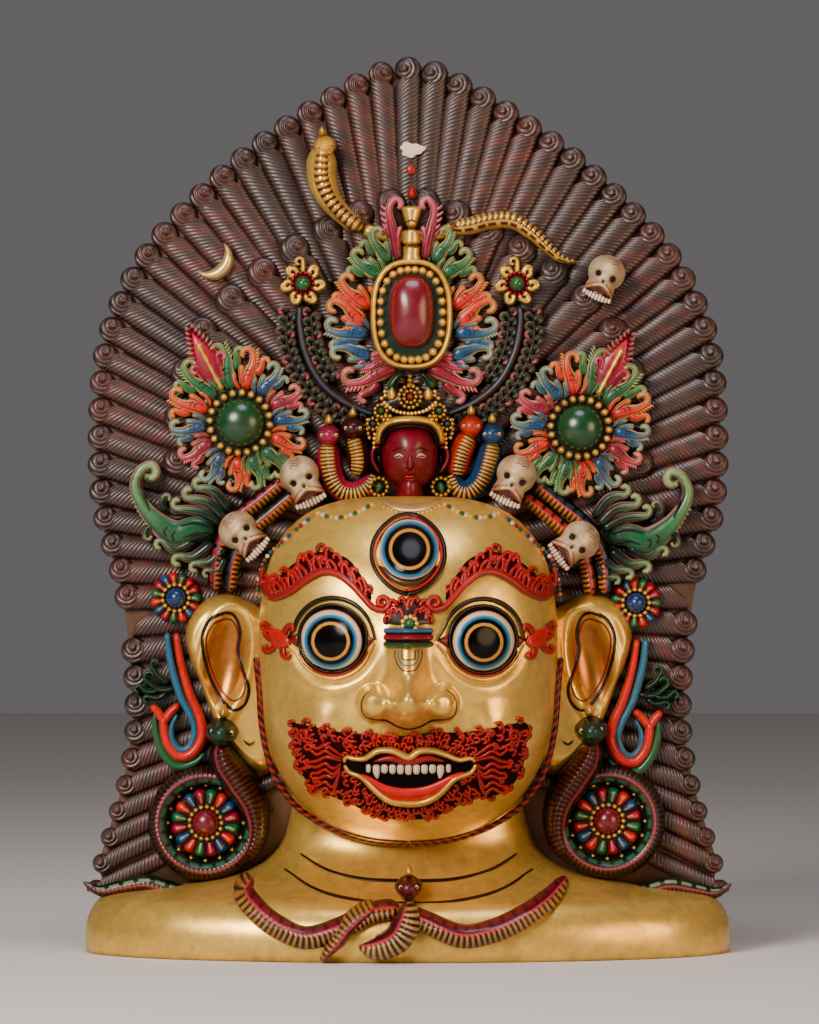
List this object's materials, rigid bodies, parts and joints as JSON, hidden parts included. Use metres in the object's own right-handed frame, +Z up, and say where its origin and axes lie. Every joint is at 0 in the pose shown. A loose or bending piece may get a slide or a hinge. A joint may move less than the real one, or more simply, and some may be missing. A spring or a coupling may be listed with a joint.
{
  "type": "bhairab mask",
  "caption": "Carved, gilded and painted wooden mask of a three-eyed wrathful head on shoulders, with a fan of hair locks, a crest, rosettes, skulls and serpents.",
  "frame": {"origin": "centre of the mask's box at the flat underside of the shoulders", "axes": "+Z up to the tip of the hair fan, -Y towards the viewer, +X to the viewer's right"},
  "size_m": [0.58, 0.242, 0.8027],
  "materials": {
    "gilding": "gilded and burnished over gesso, worn to warm brown in the hollows",
    "hair_lacquer": "dark red-brown paint under old varnish, dusty on top, red in the grooves",
    "leaf_paint": "tempera paint under varnish with pale edges",
    "petal_paint": "tempera paint under varnish",
    "serpent_paint": "brown, green and red paint under varnish",
    "red_paint": "crimson paint under varnish, gilded crown",
    "bone_paint": "bone-coloured paint with brown stains",
    "red_stone": "polished red cabochon",
    "green_stone": "polished green cabochon"
  },
  "bodies": {
    "root": {"bust": "gilding", "hair_halo": "hair_lacquer", "crest_mount": "gilding", "crest_jewel": "red_stone", "garland_left": "gilding", "garland_right": "gilding", "rosette_left": "leaf_paint", "rosette_right": "leaf_paint", "rosette_jewel_left": "green_stone", "rosette_jewel_right": "green_stone", "skull_left_upper": "bone_paint", "skull_left_lower": "bone_paint", "skull_right_upper": "bone_paint", "skull_right_lower": "bone_paint", "skull_right_far": "bone_paint", "crescent": "gilding", "golden_serpent": "gilding", "crown_head": "red_paint", "cobras_left": "serpent_paint", "cobras_right": "serpent_paint", "serpent_bodies_left": "serpent_paint", "serpent_bodies_right": "serpent_paint", "side_fin_left": "leaf_paint", "side_fin_right": "leaf_paint", "ear_flower_left": "petal_paint", "ear_flower_right": "petal_paint", "ribbon_left": "petal_paint", "ribbon_right": "petal_paint", "ear_serpent_left": "serpent_paint", "ear_serpent_right": "serpent_paint", "lotus_disc_left": "petal_paint", "lotus_disc_right": "petal_paint", "chest_serpent": "serpent_paint"}
  },
  "joints": []
}
